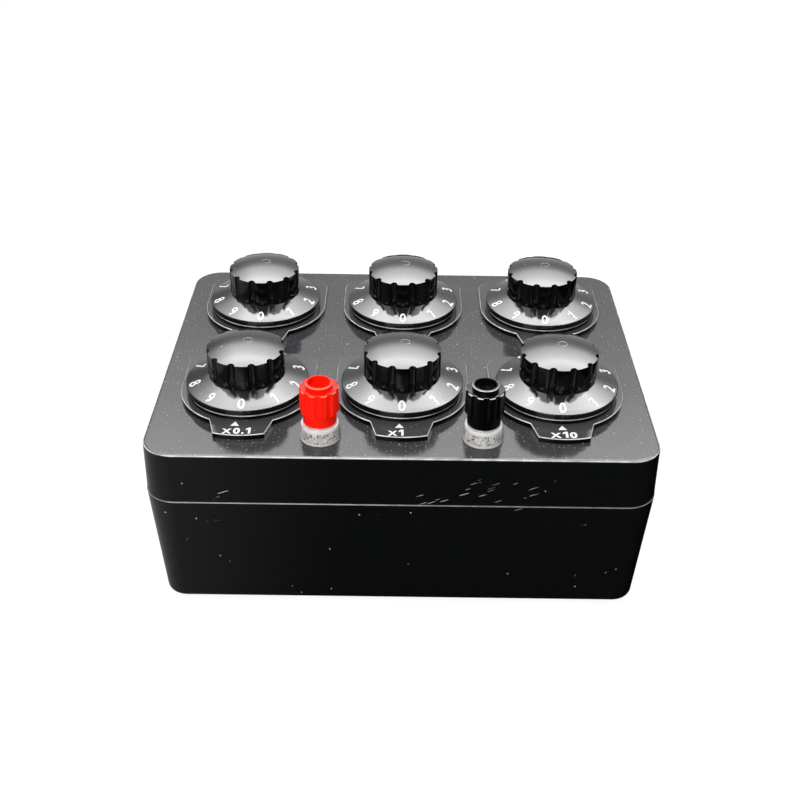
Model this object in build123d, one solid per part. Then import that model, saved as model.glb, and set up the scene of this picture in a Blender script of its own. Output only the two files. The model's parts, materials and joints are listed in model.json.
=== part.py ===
from build123d import *

import os
from math import atan2, cos, degrees, radians, sin, sqrt, tan

# Six-decade resistance box, in millimetres.
# +X is to the right, +Y to the back, +Z up. The origin is at the middle of the base,
# on the surface that the rubber feet stand on.

# Margins on the panel, round and between the dial plates
plate_margin_side = 9.7
plate_margin_front = 11.0
plate_margin_back = 10.3
plate_gap_across = 8.7
plate_gap_along = 9.1
post_margin = 14.5  # from the panel's front edge

# Case
corner_radius = 12.0
cover_height = 21.7
tray_height = 52.2
foot_stand = 1.5
cover_flare = 0.4  # each side of the cover leans out by this towards the tray
tray_draft = 3.85  # each side of the tray leans in by this towards the base
wall = 3.0
panel_thickness = 3.2
floor_thickness = 3.0
panel_edge_radius = 1.2
base_edge_radius = 2.5
rim_step = 0.2  # the tray's rim stands out from the cover's edge by this
rim_bevel = 0.5
lip_height = 2.5
lip_share = 1.4  # how far the cover's rebate is cut into its wall
lip_gap = 0.15
dimple_margin = 28.2  # from the side of the panel
dimple_drop = 8.4
dimple_radius = 1.3
dimple_depth = 0.5
floor_rib_height = 6.0
rib_thickness = 2.0

# Case screws and feet
screw_margin_side = 17.0
screw_margin_front = 16.2
pillar_radius = 4.5
boss_radius = 4.0
screw_radius = 1.5
screw_head_radius = 2.8
screw_head_height = 2.0
screw_grip = 14.0  # length of shank inside the tray's pillar
screw_bite = 10.0  # length of shank inside the cover's boss
screw_run_out = 1.0
screw_clearance = 0.2
thread_clearance = 0.03
head_clearance = 0.5
foot_radius = 6.0
foot_recess = 0.8
foot_chamfer = 0.6
foot_clearance = 0.1
foot_margin_side = 30.0
foot_margin_front = 27.7

# Decades: two rows of three
decade_names = [["x0_1", "x1", "x10"], ["x10000", "x1000", "x100"]]
dial_steps = 10

# Dial plate
plate_border = 2.33  # beyond the skirt
plate_back_border = 2.63
plate_corner_radius = 9.5
plate_thickness = 2.2
tab_length = 7.8
tab_root_half = 12.5
tab_tip_half = 9.7
plate_boss_inset = 0.42  # the skirt stands out from the boss by this
plate_boss_height = 1.8
plate_edge_radius = 0.4
nut_recess_clearance = 1.12

# Knob
skirt_radius = 24.87
skirt_gap = 0.4  # between the plate's boss and the skirt
skirt_edge = 2.2
skirt_rise = 3.2
skirt_wall = 1.6
grip_radius = 15.57
grip_height = 11.3
dome_rise = 3.0
crown_edge_radius = 0.6
skirt_edge_radius = 0.5
flute_count = 12
flute_radius = 1.7
flute_depth = 1.2
hub_radius = 6.5
grip_wall = 2.57  # behind the flutes
grip_roof = 3.3  # above the pocket, up to the crown
bore_roof = 3.1

# Spindle, index wheel and bushing
spindle_radius = 3.0
spindle_flat = 0.6
running_clearance = 0.05
flat_clearance = 0.02
bushing_radius = 4.5
bushing_proud = 0.7  # above its nut
bushing_clearance = 0.1
nut_across_flats = 14.0
nut_thickness = 2.2
index_radius = 8.2
index_thickness = 1.5
index_notch = 1.8  # side of the square notch
index_gap = 0.3
spindle_tail = 2.0

# Switch frame, wafer, rotor and contacts
frame_plate_length = 36.0
frame_plate_width = 25.0
frame_plate_corner = 5.0
frame_thickness = 1.5
leg_inset = 2.0  # from the ends of the frame plate
leg_thickness = 1.2
leg_clip_gap = 0.34
leg_drop = 20.0  # from the frame plate down to the wafer
leg_tail = 1.4
wafer_rim = 2.2  # outside the legs
wafer_thickness = 1.6
slot_clearance = 0.1
rotor_radius = 6.2
rotor_clearance = 0.3
rotor_proud = 0.6
wiper_width = 3.2
wiper_overlap = 2.8  # over the clips
wiper_tail = 5.0
wiper_thickness = 0.5
contact_gap = 0.1
clip_length = 11.6
lug_length = 3.2  # of a clip, outside the wafer
clip_width = 2.4
clip_thickness = 0.5
detent_thickness = 0.5
detent_height = 3.0
detent_half_length = 10.0
detent_rise = 2.6
detent_nose_half = 2.3
detent_nose_gap = 0.15

# Resistors and wires
resistor_inset = 1.2  # from the lugs' ends
resistor_width = 3.0
resistor_thickness = 1.8
resistor_end_gap = 1.0
wire_radius = 0.6
wire_bend_radius = 3.0
short_lead_drop = 7.0
long_lead_drop = 12.0
seat_gap = 0.02

# Binding posts
stud_radius = 3.5
socket_radius = 2.05
socket_depth = 12.0
shoulder_across_flats = 8.0
shoulder_drop = 1.0  # below the collar's top
cross_hole_radius = 1.2
cross_hole_height = 3.6
tail_radius = 3.0
tail_length = 9.0
tail_clearance = 0.1
collar_base_radius = 8.1
collar_top_radius = 7.35
collar_height = 6.8
collar_clearance = 0.28
collar_edge_radius = 0.4
clamp_washer_inset = 0.4  # from the cap's neck
clamp_washer_thickness = 0.8
cap_neck_radius = 6.5
cap_neck_height = 4.0
cap_radius = 7.6
cap_shoulder_rise = 0.9
cap_crown_height = 15.0  # of the fluted part's top above the cap's foot
cap_ring_radius = 5.2
cap_ring_rise = 2.0
cap_mouth_radius = 4.35
cap_mouth_depth = 5.1
cap_edge_radius = 0.4
cap_flute_count = 10
cap_flute_radius = 1.9
cap_flute_depth = 0.7
tag_thickness = 0.6
tag_radius = 5.2
tag_width = 4.0
tag_length = 13.0
post_nut_across_flats = 10.0
post_nut_thickness = 3.0

# Levels worked out from the sizes above
base_z = foot_stand
split_z = base_z + tray_height
panel_z = split_z + cover_height
under_panel_z = panel_z - panel_thickness
plate_top_z = panel_z + plate_thickness
boss_top_z = plate_top_z + plate_boss_height
skirt_z = boss_top_z + skirt_gap
grip_z = skirt_z + skirt_edge + skirt_rise
crown_z = grip_z + grip_height
frame_bottom_z = under_panel_z - frame_thickness
index_top_z = frame_bottom_z - index_gap
bushing_top_z = plate_top_z + nut_thickness + bushing_proud
hub_z = bushing_top_z + skirt_gap
wafer_top_z = frame_bottom_z - leg_drop
wafer_bottom_z = wafer_top_z - wafer_thickness
clip_top_z = wafer_top_z + clip_thickness
wiper_z = clip_top_z + contact_gap
rotor_bottom_z = wafer_bottom_z - rotor_proud
spindle_bottom_z = rotor_bottom_z - spindle_tail
tag_z = under_panel_z - tag_thickness
cap_z = panel_z + collar_height + clamp_washer_thickness
cap_crown_z = cap_z + cap_crown_height
stud_top_z = cap_crown_z + cap_ring_rise - cap_mouth_depth

# Dial plate, case outline and places worked out from the sizes above
plate_radius = skirt_radius + plate_border
plate_back = skirt_radius + plate_back_border
plate_boss_radius = skirt_radius - plate_boss_inset
tab_reach = plate_radius + tab_length
dial_pitch_x = 2 * plate_radius + plate_gap_across
dial_pitch_y = tab_reach + plate_back + plate_gap_along
case_width = 2 * (dial_pitch_x + plate_radius + plate_margin_side)
case_depth = plate_margin_front + tab_reach + dial_pitch_y + plate_back + plate_margin_back
front_row_y = plate_margin_front + tab_reach - case_depth / 2
post_offset_x = dial_pitch_x / 2
post_y = post_margin - case_depth / 2
screw_offset_x = case_width / 2 - screw_margin_side
screw_offset_y = case_depth / 2 - screw_margin_front
foot_offset_x = case_width / 2 - foot_margin_side
foot_offset_y = case_depth / 2 - foot_margin_front
dimple_offset = case_width / 2 - dimple_margin
split_width = case_width + 2 * cover_flare
split_depth = case_depth + 2 * cover_flare
split_radius = corner_radius + cover_flare
tray_width = split_width + 2 * rim_step
tray_depth = split_depth + 2 * rim_step
tray_radius = split_radius + rim_step

# Switch and post sizes that follow from their neighbours
bore_radius = spindle_radius + running_clearance
step_angle = 360.0 / dial_steps
first_clip_angle = step_angle / 2
nut_recess_radius = nut_across_flats / 2 / cos(radians(30)) + nut_recess_clearance
grip_pocket_radius = grip_radius - flute_depth - grip_wall
leg_offset = frame_plate_length / 2 - leg_inset
wafer_radius = leg_offset + wafer_rim
clip_outer = wafer_radius + lug_length
clip_inner = clip_outer - clip_length
clip_half_angle = radians(first_clip_angle)
leg_inner_face = leg_offset - leg_thickness / 2
clip_edge = leg_inner_face * tan(clip_half_angle) - clip_width / 2 / cos(clip_half_angle)
leg_shoulder_width = 2 * (clip_edge - leg_clip_gap)
leg_width = leg_shoulder_width - 2 * leg_thickness
wiper_reach = clip_inner + wiper_overlap
resistor_circle = clip_outer - resistor_inset
collar_bore_radius = shoulder_across_flats / 2 / cos(radians(30)) + collar_clearance
clamp_washer_radius = cap_neck_radius - clamp_washer_inset


def cylinder(radius, bottom, height):
    """Upright cylinder on the Z axis that stands on the level `bottom`."""
    return Pos(0, 0, bottom) * Cylinder(radius, height, align=(Align.CENTER, Align.CENTER, Align.MIN))


def block(length, width, bottom, height):
    """Upright block about the Z axis that stands on the level `bottom`."""
    return Pos(0, 0, bottom) * Box(length, width, height, align=(Align.CENTER, Align.CENTER, Align.MIN))


def drafted_block(width, depth, radius, bottom, height, growth):
    """Rounded block whose outline grows by `growth` on every side from bottom to top."""
    outline = Plane.XY.offset(bottom) * RectangleRounded(width, depth, radius)
    return extrude(outline, amount=height, taper=-degrees(atan2(growth, height)))


def hex_prism(across_flats, bottom, height):
    """Upright hexagonal prism on the Z axis."""
    outline = RegularPolygon(across_flats / 2, 6, major_radius=False)
    return extrude(Plane.XY.offset(bottom) * outline, amount=height)


def four_corners(x, y):
    """The four places mirrored about the case's middle."""
    return [Pos(sx * x, sy * y) for sx in (-1, 1) for sy in (-1, 1)]


def spaced(shape, radius, count, start=0.0):
    """Copies of a shape, evenly turned round the Z axis at one radius."""
    return [
        Rot(0, 0, start + 360.0 * step / count) * Pos(radius, 0) * shape for step in range(count)
    ]


def d_section(radius, bottom, height, flat):
    """Round bar with one flat on its +X side, or the hole for one."""
    beyond_flat = Pos(2 * radius - flat) * block(2 * radius, 4 * radius, bottom, height)
    return cylinder(radius, bottom, height) - beyond_flat


def lower_case():
    """Deep drafted tray: rim lip, screw pillars tied to the walls, floor ribs and dimples."""
    base_width = tray_width - 2 * tray_draft
    base_depth = tray_depth - 2 * tray_draft
    base_radius = tray_radius - tray_draft
    shell = drafted_block(base_width, base_depth, base_radius, base_z, tray_height, tray_draft)
    shell = fillet(shell.edges().group_by(Axis.Z)[0], base_edge_radius)
    shell = chamfer(shell.edges().group_by(Axis.Z)[-1], rim_bevel)

    inner_width = base_width - 2 * wall
    inner_depth = base_depth - 2 * wall
    floor_z = base_z + floor_thickness
    drafted_in = tray_draft * floor_thickness / tray_height
    cavity = drafted_block(
        inner_width + 2 * drafted_in,
        inner_depth + 2 * drafted_in,
        base_radius - wall + drafted_in,
        floor_z,
        tray_height - floor_thickness,
        tray_draft - drafted_in,
    )
    shell -= cavity

    lip_inset = wall - lip_share + lip_gap
    lip = drafted_block(
        split_width - 2 * lip_inset, split_depth - 2 * lip_inset, split_radius - lip_inset,
        split_z, lip_height, 0.0,
    )
    lip_inner = wall + rim_step
    lip -= drafted_block(
        tray_width - 2 * lip_inner, tray_depth - 2 * lip_inner, tray_radius - lip_inner,
        split_z, lip_height, 0.0,
    )
    shell += lip

    pillar = cylinder(pillar_radius, floor_z, tray_height - floor_thickness)
    rib_reach = tray_width / 2 - tray_draft - wall / 2 - screw_offset_x
    gusset = block(rib_reach, rib_thickness, floor_z, tray_height - 2 * floor_thickness)
    for sx in (-1, 1):
        for sy in (-1, 1):
            shell += Pos(sx * screw_offset_x, sy * screw_offset_y) * pillar
            shell += Pos(sx * (screw_offset_x + rib_reach / 2), sy * screw_offset_y) * gusset
        shell += Pos(sx * post_offset_x) * block(rib_thickness, inner_depth + wall, floor_z, floor_rib_height)

    head_seat = split_z - screw_grip
    screw_hole = cylinder(screw_radius + screw_clearance, base_z, tray_height)
    head_hole = cylinder(screw_head_radius + head_clearance, base_z, head_seat - base_z)
    for place in four_corners(screw_offset_x, screw_offset_y):
        shell -= place * (screw_hole + head_hole)
    recess = cylinder(foot_radius + foot_clearance, base_z, foot_recess)
    for place in four_corners(foot_offset_x, foot_offset_y):
        shell -= place * recess

    dimple_z = split_z - dimple_drop
    face_y = -(tray_depth / 2 - tray_draft * dimple_drop / tray_height)
    for side in (-1, 1):
        pin = Rot(90, 0, 0) * Cylinder(dimple_radius, 2 * dimple_depth)
        shell -= Pos(side * dimple_offset, face_y, dimple_z) * pin
    return shell


def top_cover():
    """Shell with the flat panel, a rebate for the tray's lip, screw bosses and eight holes."""
    shell = drafted_block(split_width, split_depth, split_radius, split_z, cover_height, -cover_flare)
    shell = fillet(shell.edges().group_by(Axis.Z)[-1], panel_edge_radius)
    inner_height = cover_height - panel_thickness
    shell -= drafted_block(
        split_width - 2 * wall, split_depth - 2 * wall, split_radius - wall,
        split_z, inner_height, -cover_flare,
    )
    rebate_inset = wall - lip_share
    shell -= drafted_block(
        split_width - 2 * rebate_inset, split_depth - 2 * rebate_inset, split_radius - rebate_inset,
        split_z, lip_height + lip_gap, 0.0,
    )
    boss = cylinder(boss_radius, split_z, inner_height)
    pilot = cylinder(screw_radius + thread_clearance, split_z, screw_bite + screw_run_out)
    for place in four_corners(screw_offset_x, screw_offset_y):
        shell += place * boss
        shell -= place * pilot
    bushing_hole = cylinder(bushing_radius + bushing_clearance, under_panel_z, panel_thickness)
    for _, place in decades():
        shell -= place * bushing_hole
    tail_hole = cylinder(tail_radius + tail_clearance, under_panel_z, panel_thickness)
    for place in post_places():
        shell -= place * tail_hole
    return shell


def decades():
    """Name and place of each decade, front row first, along the chain of links."""
    rows = [(decade_names[0], front_row_y), (decade_names[1], front_row_y + dial_pitch_y)]
    places = []
    for names, y in rows:
        for column, name in enumerate(names):
            places.append((name, Pos((column - 1) * dial_pitch_x, y)))
    return places


def post_places():
    """Places of the red and the black binding post."""
    return [Pos(-post_offset_x, post_y), Pos(post_offset_x, post_y)]


def case_screw():
    """Pan head screw, driven up from below, its head deep in the tray's pillar."""
    seat = split_z - screw_grip
    return cylinder(screw_radius, seat, screw_grip + screw_bite) + cylinder(
        screw_head_radius, seat - screw_head_height, screw_head_height
    )


def rubber_foot():
    """Round foot, seated in its recess in the base."""
    foot = cylinder(foot_radius, 0, foot_stand + foot_recess)
    return chamfer(foot.edges().group_by(Axis.Z)[0], foot_chamfer)


def dial_plate():
    """Moulded plate under a dial: half-round front with a tapered tab, boss and nut recess."""
    back = Rectangle(2 * plate_radius, plate_back, align=(Align.CENTER, Align.MIN))
    back = fillet(back.vertices().group_by(Axis.Y)[-1], plate_corner_radius)
    tab_root_y = -sqrt(plate_radius**2 - tab_root_half**2)
    tab = Polygon(
        (-tab_root_half, tab_root_y), (-tab_tip_half, -tab_reach),
        (tab_tip_half, -tab_reach), (tab_root_half, tab_root_y),
        align=None,
    )
    outline = Circle(plate_radius) + back + (tab & Circle(tab_reach))
    plate = extrude(Plane.XY.offset(panel_z) * outline, amount=plate_thickness)
    plate = fillet(plate.edges().group_by(Axis.Z)[-1], plate_edge_radius)
    boss = cylinder(plate_boss_radius, plate_top_z, plate_boss_height)
    plate += fillet(boss.edges().group_by(Axis.Z)[-1], plate_edge_radius)
    plate -= cylinder(nut_recess_radius, plate_top_z, plate_boss_height)
    return plate - cylinder(bushing_radius + bushing_clearance, panel_z, plate_thickness)


def knob():
    """One moulding: numbered cone skirt, fluted grip and domed top, hollow below."""
    rim_z = skirt_z + skirt_edge
    dome_z = crown_z + dome_rise
    with BuildPart() as turned:
        with BuildSketch(Plane.XZ):
            with BuildLine():
                Polyline(
                    (0, skirt_z), (skirt_radius, skirt_z), (skirt_radius, rim_z),
                    (grip_radius, grip_z), (grip_radius, crown_z),
                )
                RadiusArc(
                    (grip_radius, crown_z), (0, dome_z),
                    -(grip_radius**2 + dome_rise**2) / (2 * dome_rise),
                )
                Line((0, dome_z), (0, skirt_z))
            make_face()
            corners = vertices().filter_by_position(Axis.X, grip_radius, skirt_radius)
            fillet(corners.filter_by_position(Axis.Y, rim_z, rim_z), skirt_edge_radius)
            fillet(corners.filter_by_position(Axis.Y, crown_z, crown_z), crown_edge_radius)
        revolve(axis=Axis.Z)
    body = turned.part

    flute = cylinder(flute_radius, grip_z, grip_height + dome_rise)
    flute_centre = grip_radius - flute_depth + flute_radius
    for groove in spaced(flute, flute_centre, flute_count, 360.0 / flute_count / 2):
        body -= groove

    slope = skirt_rise / (skirt_radius - grip_radius)
    hollow_radius = skirt_radius - skirt_wall
    hollow_rim_z = rim_z - skirt_wall / 2
    hollow_root_z = hollow_rim_z + slope * (hollow_radius - grip_pocket_radius)
    pocket_top_z = crown_z - grip_roof
    with BuildPart() as under:
        with BuildSketch(Plane.XZ):
            Polygon(
                (0, skirt_z), (hollow_radius, skirt_z), (hollow_radius, hollow_rim_z),
                (grip_pocket_radius, hollow_root_z),
                (grip_pocket_radius, pocket_top_z), (0, pocket_top_z),
                align=None,
            )
        revolve(axis=Axis.Z)
    body -= under.part - cylinder(hub_radius, hub_z, pocket_top_z - hub_z)
    return body - keyed_hole(hub_z, crown_z - bore_roof - hub_z)


def spindle():
    """Turned spindle with a flat for knob, rotor and wiper, and the notched index wheel on it."""
    top = crown_z - bore_roof - seat_gap
    flat_from_z = bushing_top_z
    bar = cylinder(spindle_radius, index_top_z - index_thickness, flat_from_z - index_top_z + index_thickness)
    bar += d_section(spindle_radius, flat_from_z, top - flat_from_z, spindle_flat)
    lower_top = index_top_z - index_thickness
    bar += d_section(spindle_radius, spindle_bottom_z, lower_top - spindle_bottom_z, spindle_flat)
    wheel = cylinder(index_radius, index_top_z - index_thickness, index_thickness)
    notch = Rot(0, 0, 45) * block(index_notch, index_notch, index_top_z - index_thickness, index_thickness)
    for cut in spaced(notch, index_radius, dial_steps, first_clip_angle):
        wheel -= cut
    return bar + wheel


def switch_frame():
    """Stamped plate with two bent legs for the wafer, and the bushing staked into it."""
    outline = RectangleRounded(frame_plate_length, frame_plate_width, frame_plate_corner)
    frame = extrude(Plane.XY.offset(frame_bottom_z) * outline, amount=frame_thickness)
    frame += cylinder(bushing_radius, frame_bottom_z, bushing_top_z - frame_bottom_z)
    leg_bottom = wafer_bottom_z - leg_tail
    leg = block(leg_thickness, leg_width, leg_bottom, frame_bottom_z - leg_bottom)
    shoulder = block(leg_thickness, leg_shoulder_width, wafer_top_z, frame_bottom_z - wafer_top_z)
    for side in (-1, 1):
        frame += Pos(side * leg_offset) * leg
        frame += Pos(side * leg_offset) * shoulder
    return frame - cylinder(bore_radius, frame_bottom_z, bushing_top_z - frame_bottom_z)


def wafer():
    """Laminate disc that holds the contacts, slotted for the frame's legs."""
    disc = cylinder(wafer_radius, wafer_bottom_z, wafer_thickness)
    disc -= cylinder(rotor_radius + rotor_clearance, wafer_bottom_z, wafer_thickness)
    slot_length = leg_thickness + 2 * slot_clearance
    slot = block(slot_length, leg_width + 2 * slot_clearance, wafer_bottom_z, wafer_thickness)
    for side in (-1, 1):
        disc -= Pos(side * leg_offset) * slot
    return disc


def keyed_hole(bottom, height):
    """Hole for the spindle, with its flat."""
    return d_section(bore_radius, bottom, height, spindle_flat - flat_clearance + running_clearance)


def rotor():
    """Moulded rotor, keyed on the spindle, that turns in the wafer's hole."""
    height = wiper_z - rotor_bottom_z
    return cylinder(rotor_radius, rotor_bottom_z, height) - keyed_hole(rotor_bottom_z, height)


def wiper():
    """Brass blade on the rotor that reaches over the contact clips, at digit 0 on the front one."""
    reach = wiper_reach + wiper_tail
    blade = Pos(0, (wiper_tail - wiper_reach) / 2) * block(wiper_width, reach, wiper_z, wiper_thickness)
    blade += cylinder(wiper_tail, wiper_z, wiper_thickness)
    return blade - keyed_hole(wiper_z, wiper_thickness)


def contact_clips():
    """Ring of ten clips on the wafer, their outer ends standing out as solder lugs."""
    length = clip_outer - clip_inner
    clip = block(length, clip_width, wafer_top_z, clip_thickness)
    return spaced(clip, (clip_inner + clip_outer) / 2, dial_steps, first_clip_angle)


def resistors():
    """Nine flat wound cards in series, each lying from lug to lug, one pair of lugs left open."""
    chord = 2 * resistor_circle * sin(radians(step_angle / 2))
    middle = resistor_circle * cos(radians(step_angle / 2))
    body = block(resistor_width, chord - 2 * resistor_end_gap, clip_top_z, resistor_thickness)
    first_angle = -90.0 + step_angle / 2
    return [
        Rot(0, 0, first_angle + step * step_angle) * Pos(middle) * body for step in range(dial_steps - 1)
    ]


def bushing_nut():
    """Hexagon nut on the bushing, in the plate's recess."""
    return hex_prism(nut_across_flats, plate_top_z, nut_thickness) - cylinder(
        bushing_radius + thread_clearance, plate_top_z, nut_thickness
    )


def detent_spring():
    """Leaf under the frame plate, its nose held just clear of the index wheel's rim."""
    nose_y = index_radius + detent_nose_gap
    leaf_y = index_radius + detent_rise
    inner = [
        (-detent_half_length, leaf_y), (-detent_nose_half, leaf_y), (0, nose_y),
        (detent_nose_half, leaf_y), (detent_half_length, leaf_y),
    ]
    outer = [(x, y + detent_thickness) for x, y in reversed(inner)]
    leaf = Polygon(*inner, *outer, align=None)
    return extrude(Plane.XY.offset(frame_bottom_z - detent_height) * leaf, amount=detent_height)


def wire(points):
    """Round wire along straight runs joined by tangent arcs."""
    path = FilletPolyline(*points, radius=wire_bend_radius) if len(points) > 2 else Polyline(*points)
    section = Plane(path @ 0, z_dir=path % 0) * Circle(wire_radius)
    return sweep(section, path=path)


def terminal_lead(decade, post, drop):
    """Wire down from a decade's front lug, across below the switches and up to a solder tag."""
    angle = radians(first_clip_angle + step_angle)
    lug_circle = clip_outer - 2 * wire_radius
    x = decade.X + lug_circle * cos(angle)
    y = decade.Y - lug_circle * sin(angle)
    tag_y = post.Y + tag_length - 2 * wire_radius
    low_z = wafer_top_z - drop
    return wire([(x, y, wafer_top_z), (x, y, low_z), (post.X, tag_y, low_z), (post.X, tag_y, tag_z)])


def link_wires():
    """Bare links from lug to lug along the chain of decades, and one lead to each terminal."""
    wire_z = clip_top_z + wire_radius + seat_gap
    lug_circle = clip_outer - wire_radius
    places = [place.position for _, place in decades()]
    row = len(decade_names[0])
    links = []
    reach = lug_circle * cos(radians(first_clip_angle))
    side = lug_circle * sin(radians(first_clip_angle))
    for start in (0, row):
        for column in range(row - 1):
            left = places[start + column]
            right = places[start + column + 1]
            y = left.Y + side
            links.append(wire([(left.X + reach, y, wire_z), (right.X - reach, y, wire_z)]))
    angle = radians(first_clip_angle + step_angle)
    front = places[row - 1]
    back = places[2 * row - 1]
    x = front.X + lug_circle * cos(angle)
    rise = lug_circle * sin(angle)
    links.append(wire([(x, front.Y + rise, wire_z), (x, back.Y - rise, wire_z)]))
    red, black = [place.position for place in post_places()]
    links.append(terminal_lead(places[0], red, short_lead_drop))
    links.append(terminal_lead(places[row], black, long_lead_drop))
    return links


def post_stud():
    """Plated stud: 4 mm socket in its top, hexagon shoulder on the panel, cross hole and tail."""
    stud = cylinder(stud_radius, panel_z, stud_top_z - panel_z)
    stud += hex_prism(shoulder_across_flats, panel_z, collar_height - shoulder_drop)
    stud += cylinder(tail_radius, under_panel_z - tail_length, tail_length + panel_thickness)
    stud -= cylinder(socket_radius, stud_top_z - socket_depth, socket_depth)
    drill = Rot(90, 0, 0) * Cylinder(cross_hole_radius, 2 * shoulder_across_flats)
    return stud - Pos(0, 0, panel_z + cross_hole_height) * drill


def post_collar():
    """Clear tapered collar that stands on the panel round the stud's shoulder."""
    collar = Pos(0, 0, panel_z) * Cone(
        collar_base_radius, collar_top_radius, collar_height, align=(Align.CENTER, Align.CENTER, Align.MIN)
    )
    collar = fillet(collar.edges().filter_by(GeomType.CIRCLE), collar_edge_radius)
    return collar - cylinder(collar_bore_radius, panel_z, collar_height)


def clamp_washer():
    """Captive washer that rises with the cap and doesn't turn."""
    bottom = panel_z + collar_height
    return cylinder(clamp_washer_radius, bottom, clamp_washer_thickness) - cylinder(
        stud_radius + running_clearance, bottom, clamp_washer_thickness
    )


def post_cap():
    """Screw cap: plain neck, fluted grip, and a raised ring round the socket's mouth."""
    shoulder_z = cap_z + cap_neck_height
    cap = cylinder(cap_neck_radius, cap_z, cap_neck_height)
    cap += Pos(0, 0, shoulder_z) * Cone(
        cap_neck_radius, cap_radius, cap_shoulder_rise, align=(Align.CENTER, Align.CENTER, Align.MIN)
    )
    grip_bottom = shoulder_z + cap_shoulder_rise
    grip = cylinder(cap_radius, grip_bottom, cap_crown_z - grip_bottom)
    cap += fillet(grip.edges().group_by(Axis.Z)[-1], cap_edge_radius)
    flute = cylinder(cap_flute_radius, shoulder_z, cap_crown_z - shoulder_z)
    flute_centre = cap_radius - cap_flute_depth + cap_flute_radius
    for groove in spaced(flute, flute_centre, cap_flute_count, 360.0 / cap_flute_count / 2):
        cap -= groove
    ring = cylinder(cap_ring_radius, cap_crown_z, cap_ring_rise)
    cap += fillet(ring.edges().group_by(Axis.Z)[-1], cap_edge_radius)
    cap -= cylinder(stud_radius + running_clearance, cap_z, cap_crown_z - cap_z)
    return cap - cylinder(cap_mouth_radius, stud_top_z, cap_mouth_depth)


def solder_tag():
    """Ring tag under the panel, its tail pointing to the back."""
    tag = cylinder(tag_radius, tag_z, tag_thickness)
    tag += Pos(0, tag_length / 2) * block(tag_width, tag_length, tag_z, tag_thickness)
    return tag - cylinder(tail_radius + tail_clearance, tag_z, tag_thickness)


def post_nut():
    """Hexagon nut that clamps the solder tag and the stud to the panel."""
    bottom = tag_z - post_nut_thickness
    return hex_prism(post_nut_across_flats, bottom, post_nut_thickness) - cylinder(
        tail_radius + thread_clearance, bottom, post_nut_thickness
    )


def save(node, shapes):
    """Write one node, a solid or a group of separate solids, to its STEP file."""
    solids = [solid for shape in shapes for solid in shape.solids()]
    whole = solids[0] if len(solids) == 1 else Compound(children=solids)
    whole.label = node
    export_step(whole, f"parts/{node}.step")


os.makedirs("parts", exist_ok=True)

save("lower_case", [lower_case()])
save("top_cover", [top_cover()])
save("case_screws", [place * case_screw() for place in four_corners(screw_offset_x, screw_offset_y)])
save("rubber_feet", [place * rubber_foot() for place in four_corners(foot_offset_x, foot_offset_y)])

own_pieces = {
    "dial_plate": dial_plate(),
    "knob": knob(),
    "spindle": spindle(),
    "rotor": rotor(),
    "wiper": wiper(),
    "switch_frame": switch_frame(),
    "wafer": wafer(),
}
for name, place in decades():
    for piece, shape in own_pieces.items():
        save(f"{name}_{piece}", [place * shape])

shared_pieces = {
    "bushing_nuts": [bushing_nut()],
    "detent_springs": [detent_spring()],
    "contact_clips": contact_clips(),
    "resistors": resistors(),
}
for node, shapes in shared_pieces.items():
    save(node, [place * shape for _, place in decades() for shape in shapes])
save("link_wires", link_wires())

for colour, place in zip(("red", "black"), post_places()):
    save(f"{colour}_cap", [place * post_cap()])
    save(f"{colour}_stud", [place * post_stud()])
    save(f"{colour}_clamp_washer", [place * clamp_washer()])
save("post_collars", [place * post_collar() for place in post_places()])
save("solder_tags", [place * solder_tag() for place in post_places()])
save("post_nuts", [place * post_nut() for place in post_places()])
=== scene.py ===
import json
import logging
import math
from dataclasses import dataclass
from enum import Enum

import bmesh
import bpy
from bmesh.types import BMesh, BMVert
from bpy.types import Material, Node, NodeSocket, NodeTree, Object
from mathutils import Matrix, Vector

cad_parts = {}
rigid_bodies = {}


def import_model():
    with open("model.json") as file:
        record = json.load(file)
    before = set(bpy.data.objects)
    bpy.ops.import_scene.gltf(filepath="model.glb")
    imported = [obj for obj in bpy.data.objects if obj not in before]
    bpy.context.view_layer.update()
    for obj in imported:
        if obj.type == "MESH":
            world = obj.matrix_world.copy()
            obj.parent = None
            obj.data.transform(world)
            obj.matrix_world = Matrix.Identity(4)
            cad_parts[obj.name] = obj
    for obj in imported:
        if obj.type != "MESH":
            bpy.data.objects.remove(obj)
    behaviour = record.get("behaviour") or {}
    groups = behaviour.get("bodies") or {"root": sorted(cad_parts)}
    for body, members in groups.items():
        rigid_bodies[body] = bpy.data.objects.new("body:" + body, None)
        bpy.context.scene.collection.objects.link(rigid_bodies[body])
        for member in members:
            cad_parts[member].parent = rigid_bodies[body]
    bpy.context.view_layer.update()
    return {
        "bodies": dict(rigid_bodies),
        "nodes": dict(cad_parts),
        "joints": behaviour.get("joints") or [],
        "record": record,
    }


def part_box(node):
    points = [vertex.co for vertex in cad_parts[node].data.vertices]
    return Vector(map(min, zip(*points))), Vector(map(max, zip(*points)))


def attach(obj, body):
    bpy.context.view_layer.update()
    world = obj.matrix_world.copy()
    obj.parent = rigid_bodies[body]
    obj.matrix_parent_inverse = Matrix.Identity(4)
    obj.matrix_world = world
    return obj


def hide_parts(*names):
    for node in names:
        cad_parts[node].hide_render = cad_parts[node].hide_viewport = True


MM = 0.001
LOG = logging.getLogger("decade_box")

# Upright part of the normal: where masks of level and of steep faces start and are full
HALF_SLOPE = 0.5
LEVEL_SLOPE = 0.8
STEEP_SLOPE = 0.2
LEVEL_FADE = 0.08
STEEP_FADE = 0.12

# Thickness of the printed marks in millimetres
INK_MM = 0.06


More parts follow.
